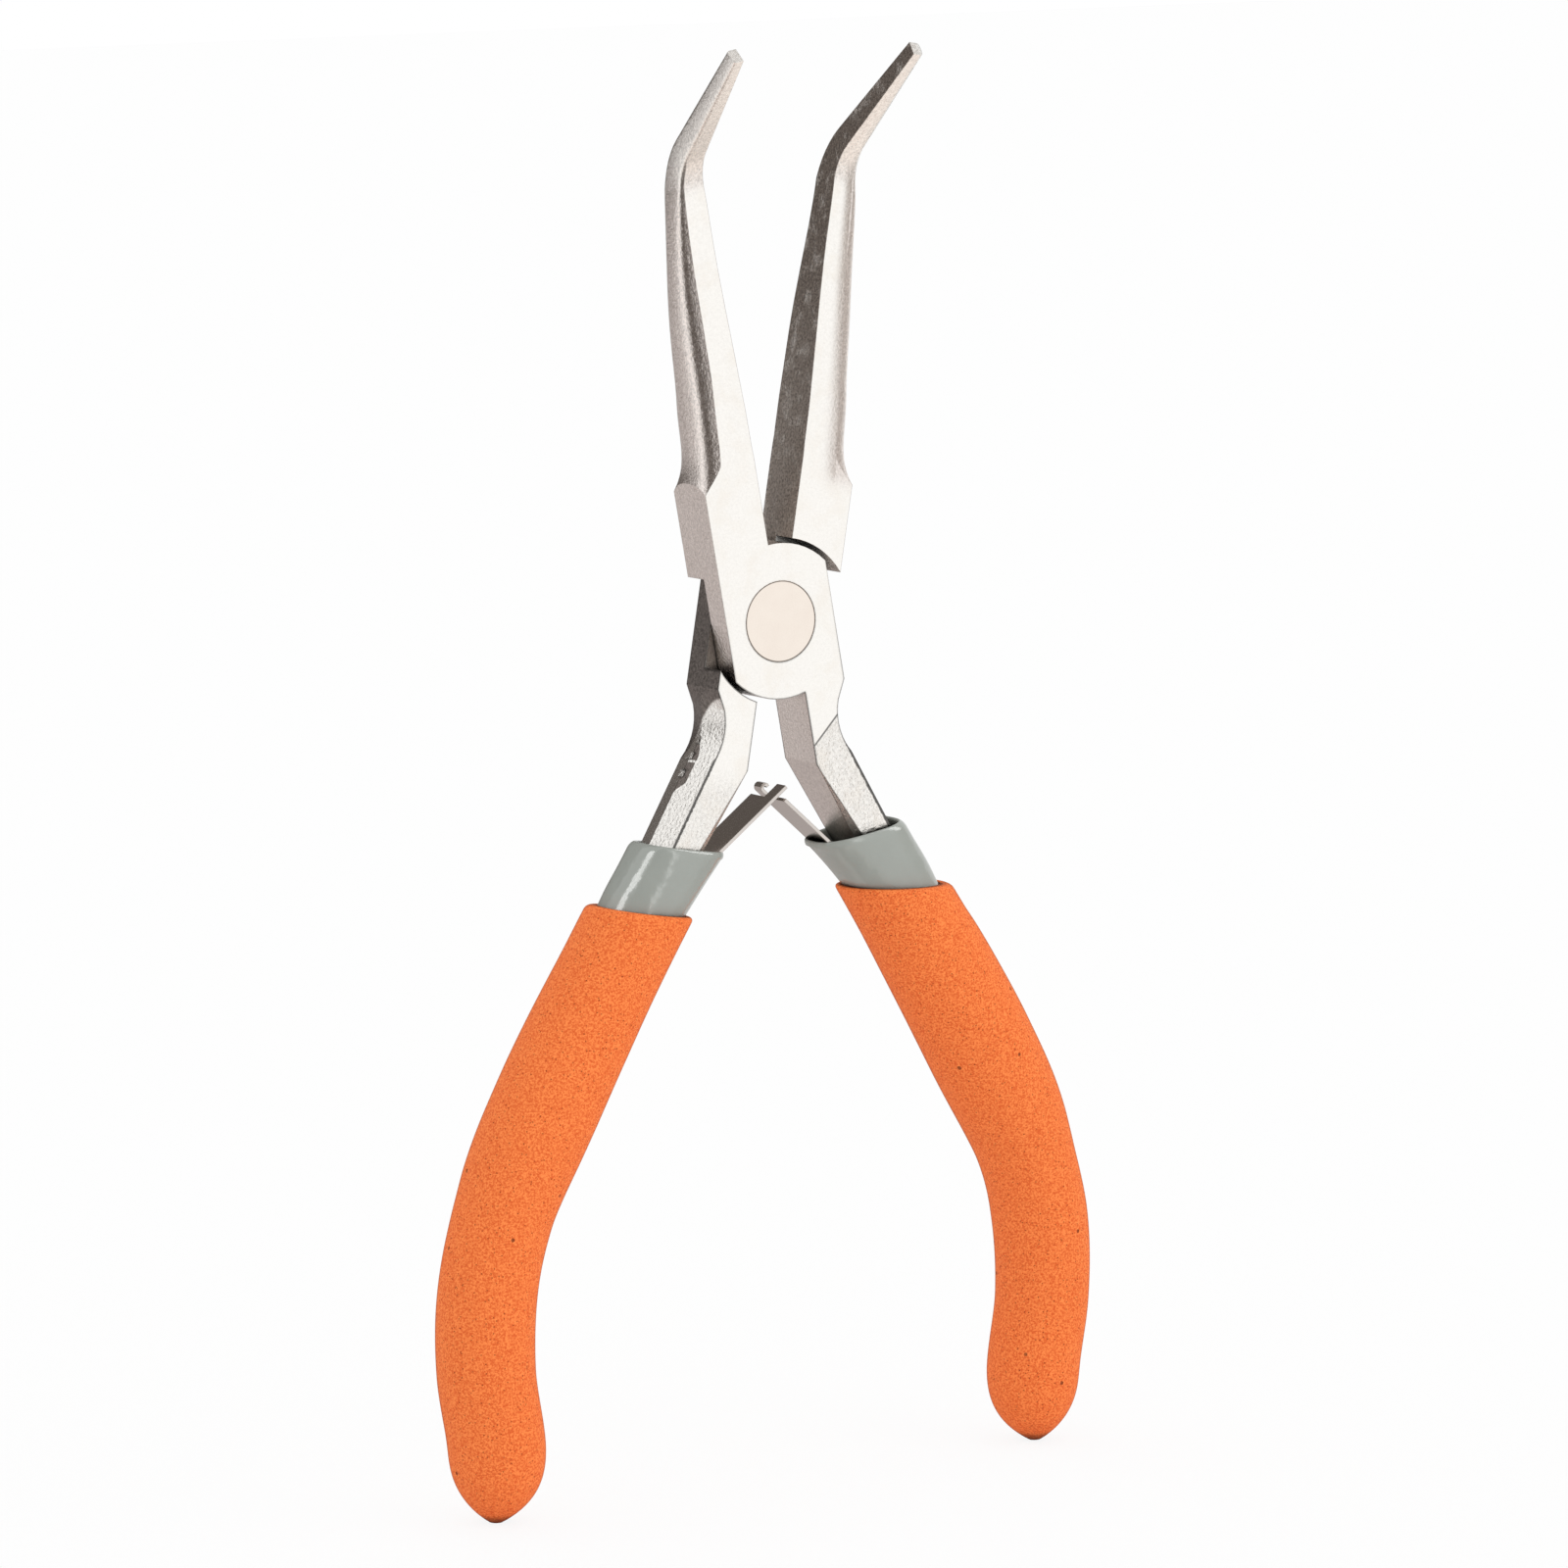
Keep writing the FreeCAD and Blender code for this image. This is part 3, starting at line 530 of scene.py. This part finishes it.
def lever_colour(g, at, finish, marks):
    """Tones of the finishes with their speckle, painted dark reflections on the walls and the left
    shank's patch, and painted shade in narrow gaps.
    """
    near_tip = g.ramp(at.z, 44.0, 50.0)
    colour = g.mix(finish.flat, g.mix(near_tip, BLASTED, GROUND), GROUND)
    colour = g.mix(finish.forged, colour, FORGED)
    # painted dark reflection on the outer walls
    colour = g.mix(finish.wall, colour, DARK_WALL_PAINT)
    # painted dark reflection on the left shank's draft
    colour = g.mix(finish.dark_patch, colour, DARK_PATCH_PAINT)
    colour = g.mix(finish.grip, colour, MILLED)
    scratched = g.math("MULTIPLY", marks, finish.grip)
    colour = g.mix(g.math("MULTIPLY", scratched, 0.8), colour, FORGED)
    soft = g.blend(finish.flat, 0.8, 0.95)
    soft = g.blend(finish.forged, soft, 0.8)
    soft = g.blend(g.math("MAXIMUM", finish.wall, finish.grip), soft, 0.5)
    grains = g.noise(at.place, 3.2, 2.0, 0.8)
    speckle = g.add("ShaderNodeMapRange", {"Value": grains, "From Min": 0.35, "From Max": 0.6,
                                           "To Min": soft, "To Max": 1.0}).outputs["Result"]
    colour = g.shade(colour, speckle)
    mottling = g.ramp(g.noise(at.place, 0.3, 3.0, 0.6), 0.45, 0.7)
    warm = g.math("MULTIPLY", mottling, finish.flat)
    colour = g.mix(g.math("MULTIPLY", warm, 0.35), colour, WARM)
    # painted shade in narrow gaps
    return g.shade(colour, g.gap_shade(1.9, 0.03))


def edge_shade_lines(g, side, at):
    """Painted shade along the edges, the ridge along the shank and the right shank's step, 0 to 1."""
    wide_edge = g.add("ShaderNodeBevel", {"Radius": 0.4 * MM}, samples=8).outputs[0]
    turned = g.add("ShaderNodeVectorTransform", {"Vector": wide_edge}, vector_type="NORMAL",
                   convert_from="WORLD", convert_to="OBJECT").outputs[0]
    agree = g.add("ShaderNodeVectorMath", {0: turned, 1: at.normal},
                  operation="DOT_PRODUCT").outputs["Value"]
    growing = g.ramp(at.z, SHOULDER_LOW, -11.0, 0.15, 0.7)
    line = g.math("MULTIPLY", g.ramp(agree, 0.99, 0.93), growing)
    line = g.math("MULTIPLY", line, g.ramp(at.z, SHOULDER_LOW, SHOULDER_LOW - 2.0))
    below_neck = g.math("SUBTRACT", NECK_Z, at.z)
    outer_edge = g.math("ADD", NECK_X, g.math("MULTIPLY", below_neck, EDGE_SLOPE))
    from_edge = g.math("ADD", g.math("SUBTRACT", outer_edge, at.x), at.ragged)
    ridge = g.math("MULTIPLY", g.ramp(from_edge, 0.36, 0.2), at.face)
    ridge = g.math("MULTIPLY", ridge, g.ramp(at.z, NECK_Z + 3.0, NECK_Z))
    line = g.math("MAXIMUM", line, ridge)
    if side == "right":
        from_step = g.math("ABSOLUTE", g.math("SUBTRACT", at.low_edge, STEP_LEVEL))
        step = g.math("MULTIPLY", g.ramp(from_step, 0.22, 0.05), at.face)
        line = g.math("MAXIMUM", line, g.math("MULTIPLY", step, 0.8))
    return line


def lever_relief(g, side, at, finish, marks):
    """Slightly rounded edges, the left jaw's crown and the fine relief of each finish."""
    edge = g.add("ShaderNodeBevel", {"Radius": 0.1 * MM}, samples=6).outputs[0]
    if side == "left":
        edge = g.bump(finish.crown, -0.22 * MM, edge)
    lines = g.bump(g.noise(g.stretch(at.place, (0.4, 0.4, 4.5)), 1.0, 3.0, 0.6), 0.008 * MM, edge)
    blasted = g.bump(g.noise(at.place, 3.2, 3.0, 0.75), 0.07 * MM, edge)
    stippled = g.bump(g.noise(at.place, 2.8, 2.0, 0.6), 0.09 * MM, edge)
    milled = g.math("ADD", g.math("MULTIPLY", marks, 0.4), g.noise(at.place, 4.0, 2.0, 0.6))
    milled = g.bump(milled, 0.02 * MM, edge)
    normal = g.mix(finish.flat, blasted, lines)
    normal = g.mix(finish.forged, normal, stippled)
    return g.mix(finish.grip, normal, milled)


def lever_roughness(g, at, finish):
    rough = g.blend(finish.flat, 0.22, 0.18)
    rough = g.blend(finish.forged, rough, 0.24)
    rough = g.blend(finish.wall, rough, 0.42)
    return g.blend(finish.grip, rough, g.ramp(at.z, 46.0, 14.0, 0.22, 0.33))


def lever_steel(side):
    """Forged lever: ground flats, blasted flanks, milled gripping face, rough forged shank."""
    material, g = new_material("lever_steel_" + side)
    at = lever_places(g, side)
    finish = lever_finishes(g, side, at)
    marks = g.math("MAXIMUM", scratches(g, at.place, 0.12, 0.2),
                   scratches(g, at.place, -0.75, 0.12))
    colour = lever_colour(g, at, finish, marks)
    # painted shade along edges, the shank's ridge and the right shank's step
    colour = g.shade(colour, g.ramp(edge_shade_lines(g, side, at), 0.0, 1.0, 1.0, 0.15))
    shader = g.add("ShaderNodeBsdfPrincipled", {
        "Base Color": colour, "Metallic": 1.0, "Roughness": lever_roughness(g, at, finish),
        "Normal": lever_relief(g, side, at, finish, marks)})
    g.finish(shader.outputs[0])
    return material


def rivet_steel():
    """Rivet head ground flush with the lever, with a fine line of painted shade round its edge."""
    material, g = new_material("rivet_steel")
    place = g.place()
    x, _, z = g.split(place)
    radius = g.math("SQRT", g.math("ADD", g.math("MULTIPLY", x, x), g.math("MULTIPLY", z, z)))
    edge = g.ramp(radius, RIVET_EDGE - 0.04, RIVET_EDGE + 0.04)
    lines = g.bump(g.noise(g.stretch(place, (0.4, 0.4, 4.5)), 1.0, 3.0, 0.6), 0.008 * MM)
    tint = g.mix(g.noise(place, 0.5, 2.0, 0.5), rgb(250, 240, 229), rgb(243, 231, 220))
    # painted shade in the gap round the rivet head
    colour = g.mix(edge, tint, rgb(120, 108, 98))
    shader = g.add("ShaderNodeBsdfPrincipled", {
        "Base Color": colour, "Metallic": 1.0, "Roughness": 0.18, "Normal": lines})
    g.finish(shader.outputs[0])
    return material


def spring_steel():
    """Bright rolled strip with faint lengthwise streaks."""
    material, g = new_material("spring_steel")
    place = g.place()
    soft_edge = g.add("ShaderNodeBevel", {"Radius": 0.08 * MM}, samples=6).outputs[0]
    rolled = g.noise(g.stretch(place, (0.5, 6.0, 0.5)), 1.0, 3.0, 0.6)
    streaks = g.bump(rolled, 0.004 * MM, soft_edge)
    # painted shade in narrow gaps
    colour = g.shade(rgb(214, 207, 201), g.gap_shade(1.0, 0.1))
    shader = g.add("ShaderNodeBsdfPrincipled", {
        "Base Color": colour, "Metallic": 1.0, "Roughness": 0.14, "Normal": streaks})
    g.finish(shader.outputs[0])
    return material


def dipped_vinyl():
    """Glossy grey dip coat with a slightly wavy surface."""
    material, g = new_material("dipped_vinyl")
    place = g.place()
    waves = g.bump(g.noise(place, 0.5, 2.0, 0.5), 0.12 * MM)
    tone = g.mix(g.noise(place, 0.35, 3.0, 0.6), rgb(156, 160, 154), rgb(149, 153, 147))
    # painted shade in narrow gaps, such as the open mouth
    colour = g.shade(tone, g.gap_shade(2.0, 0.25))
    shader = g.add("ShaderNodeBsdfPrincipled", {
        "Base Color": colour, "Roughness": 0.16, "IOR": 1.5, "Normal": waves})
    g.finish(shader.outputs[0])
    return material


def grip_foam():
    """Matte orange foam with fine pores and a few deeper pits, painted shade in them, towards the
    silhouette and in narrow gaps.
    """
    material, g = new_material("grip_foam")
    place = g.place()
    fine = g.noise(place, 4.6, 2.0, 0.75)
    cells = g.add("ShaderNodeTexVoronoi", {"Vector": place, "Scale": 2.7, "Randomness": 1.0})
    cell_tone = g.split(cells.outputs["Color"])[0]
    pore = g.math("MULTIPLY", g.ramp(cells.outputs["Distance"], 0.24, 0.1),
                  g.ramp(cell_tone, 0.5, 0.65))
    colour = g.mix(g.ramp(fine, 0.38, 0.62), rgb(222, 99, 45), rgb(255, 141, 75))
    # painted shade in the pores: darker colour where the foam is hollow
    colour = g.mix(g.math("MULTIPLY", pore, 0.6), colour, rgb(120, 48, 20))
    rare = g.add("ShaderNodeTexVoronoi", {"Vector": place, "Scale": 0.5, "Randomness": 1.0})
    pit = g.math("MULTIPLY", g.ramp(rare.outputs["Distance"], 0.13, 0.07),
                 g.ramp(g.split(rare.outputs["Color"])[0], 0.8, 0.85))
    # painted shade in the rare deeper pits
    colour = g.mix(g.math("MULTIPLY", pit, 0.7), colour, rgb(90, 36, 16))
    pore = g.math("MAXIMUM", pore, g.math("MULTIPLY", pit, 2.0))
    # painted shade towards the silhouette
    grazing = g.add("ShaderNodeLayerWeight", {"Blend": 0.5}).outputs["Facing"]
    colour = g.shade(colour, g.ramp(grazing, 0.74, 0.97, 1.0, 0.55))
    # painted shade in narrow gaps
    colour = g.shade(colour, g.gap_shade(1.5, 0.35))
    height = g.math("SUBTRACT", g.math("MULTIPLY", fine, 0.8), pore)
    normal = g.bump(height, 0.08 * MM)
    shader = g.add("ShaderNodeBsdfPrincipled", {
        "Base Color": colour, "Roughness": 0.85, "Specular IOR Level": 0.2, "Normal": normal})
    g.finish(shader.outputs[0])
    return material


def dress(piece, material):
    """Give a piece one material."""
    piece.data.materials.clear()
    piece.data.materials.append(material)


# ---- stage -------------------------------------------------------------------------------
def studio():
    """White backdrop and plain white light; reflections see a bright room with dark flags."""
    world = bpy.data.worlds.new("studio")
    bpy.context.scene.world = world
    world.use_nodes = True
    g = Graph(world.node_tree)
    direction = g.add("ShaderNodeTexCoord").outputs["Generated"]
    x, y, z = g.split(direction)    # azimuth 0 looks from the front, positive to the right
    azimuth = g.math("MULTIPLY", g.math("ARCTAN2", x, g.math("MULTIPLY", y, -1.0)), 180 / math.pi)
    elevation = g.math("MULTIPLY", g.math("ARCSINE", z), 180 / math.pi)
    front_flag = g.band(azimuth, (-74.0, -64.0), (6.0, -1.0))
    right_flag = g.band(azimuth, (42.0, 62.0), (96.0, 88.0))
    right_flag = g.math("MULTIPLY", right_flag, g.ramp(elevation, -34.0, -26.0))
    back_edge = g.math("ADD", azimuth, g.math("MULTIPLY", elevation, 1.15))
    back = g.math("MAXIMUM", g.ramp(back_edge, -114.0, -122.0), g.ramp(azimuth, 140.0, 155.0))
    back_flag = g.math("MULTIPLY", back, g.band(elevation, (-6.0, -2.0), (72.0, 62.0)))
    behind = g.math("MAXIMUM", g.ramp(azimuth, -126.0, -142.0), g.ramp(azimuth, 140.0, 155.0))
    floor_side = g.math("MULTIPLY", g.ramp(elevation, -3.0, -9.0), behind)
    deep_floor = g.ramp(elevation, -24.0, -36.0)
    tone = g.mix(deep_floor, WHITE, FLOOR_UNDER)
    tone = g.mix(floor_side, tone, FLOOR_BEHIND)
    tone = g.mix(right_flag, tone, SIDE_FLAG)
    tone = g.mix(front_flag, tone, FLAG)
    tone = g.mix(back_flag, tone, FLAG)
    rays = g.add("ShaderNodeLightPath")
    tone = g.mix(rays.outputs["Is Diffuse Ray"], tone, WHITE)
    tone = g.mix(rays.outputs["Is Camera Ray"], tone, WHITE)
    background = g.add("ShaderNodeBackground", {"Color": tone, "Strength": 1.0})
    g.add("ShaderNodeOutputWorld", {"Surface": background.outputs[0]})
    world.cycles.sampling_method = "NONE"      # matte surfaces see only the plain white room


def floor():
    """Plain pale floor under the handle ends."""
    low = REST_BOUNDS[0].z
    corners = [(FLOOR_SIZE * x, FLOOR_SIZE * y, low) for x, y in ((-1, -1), (1, -1), (1, 1), (-1, 1))]
    mesh = bpy.data.meshes.new("floor")
    mesh.from_pydata(corners, [], [(0, 1, 2, 3)])
    plane = bpy.data.objects.new("floor", mesh)
    bpy.context.scene.collection.objects.link(plane)
    material, g = new_material("floor")
    seen = g.add("ShaderNodeLightPath").outputs["Is Camera Ray"]
    matte = g.add("ShaderNodeBsdfDiffuse", {"Color": (0.88, 0.88, 0.88, 1)}).outputs[0]
    clear = g.add("ShaderNodeBsdfTransparent").outputs[0]
    share = g.math("MULTIPLY", seen, FLOOR_CLEAR)
    g.finish(g.add("ShaderNodeMixShader", {0: share, 1: matte, 2: clear}).outputs[0])
    dress(plane, material)
    plane.visible_glossy = False


def toward(azimuth, elevation):
    """Direction from the object, azimuth 0 to the front and positive to the right, in degrees."""
    azimuth, elevation = math.radians(azimuth), math.radians(elevation)
    return Vector((math.sin(azimuth) * math.cos(elevation),
                   -math.cos(azimuth) * math.cos(elevation), math.sin(elevation)))


def side_light():
    """Large soft light at the front right."""
    light = bpy.data.lights.new("side_light", "SUN")
    light.angle = math.radians(60.0)
    light.energy = 0.9
    lamp = bpy.data.objects.new("side_light", light)
    lamp.rotation_euler = Vector((0.6, -0.9, 0.08)).to_track_quat("Z", "Y").to_euler()
    lamp.visible_glossy = False
    bpy.context.scene.collection.objects.link(lamp)


def strip_light(name, azimuth, elevation, width, power, receivers):
    """Tall soft box, one metre away, that shows only as a streak on the given pieces."""
    light = bpy.data.lights.new(name, "AREA")
    light.shape = "RECTANGLE"
    light.size = width
    light.size_y = STRIP_LENGTH
    light.energy = power
    lamp = bpy.data.objects.new(name, light)
    away = toward(azimuth, elevation)
    lamp.location = away
    lamp.rotation_euler = away.to_track_quat("Z", "Y").to_euler()
    bpy.context.scene.collection.objects.link(lamp)
    lamp.light_linking.receiver_collection = receivers
    lamp.visible_diffuse = False


def camera():
    """Long lens, from the left and a little above."""
    azimuth, elevation, roll = -32.16, 8.04, math.radians(-0.66)
    distance, shift_right, shift_up = 815.8, 1.99, -17.19
    back = toward(azimuth, elevation)
    right = Vector((math.cos(math.radians(azimuth)), math.sin(math.radians(azimuth)), 0))
    up = back.cross(right)
    right, up = (right * math.cos(roll) + up * math.sin(roll),
                 up * math.cos(roll) - right * math.sin(roll))
    view = bpy.data.cameras.new("camera")
    view.sensor_width = 36.0
    view.lens = 180.33
    view.clip_start = 0.05
    view.clip_end = 20.0
    eye = bpy.data.objects.new("camera", view)
    place = (back * distance + right * shift_right + up * shift_up) * MM + Vector((0, MID_Y, 0))
    eye.matrix_world = Matrix((
        (right.x, up.x, back.x, place.x),
        (right.y, up.y, back.y, place.y),
        (right.z, up.z, back.z, place.z),
        (0, 0, 0, 1)))
    bpy.context.scene.collection.objects.link(eye)
    bpy.context.scene.camera = eye


# ---- build -------------------------------------------------------------------------------
def main():
    """Dress the CAD's own pieces, make the others, then set the stage."""
    rivets, bright = rivet_steel(), spring_steel()
    dress(NODES["front_lever"], lever_steel("right"))
    dress(NODES["rear_lever"], lever_steel("left"))
    dress(NODES["pivot_rivet"], rivets)
    vinyl, orange = dipped_vinyl(), grip_foam()
    sleeves = bpy.data.collections.new("sleeves")    # what the strip lights reach
    for side, (body, _) in SIDES.items():
        spring = leaf(side)
        dress(spring, bright)
        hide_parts("leaf_spring_" + side)
        dress(NODES["leaf_rivet_" + side], rivets)
        for piece, node, slot, material in (
                (sleeve(side), "dip_sleeve_" + side, "dipped_vinyl", vinyl),
                (foam(side), "foam_grip_" + side, "grip_foam", orange)):
            dress(piece, material)
            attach(piece, body)
            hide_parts(node)
            if material is vinyl:
                sleeves.objects.link(piece)
    studio()
    floor()
    side_light()
    for strip in STRIPS:
        strip_light(*strip, sleeves)
    camera()
    bpy.context.scene.view_settings.view_transform = "Standard"


main()
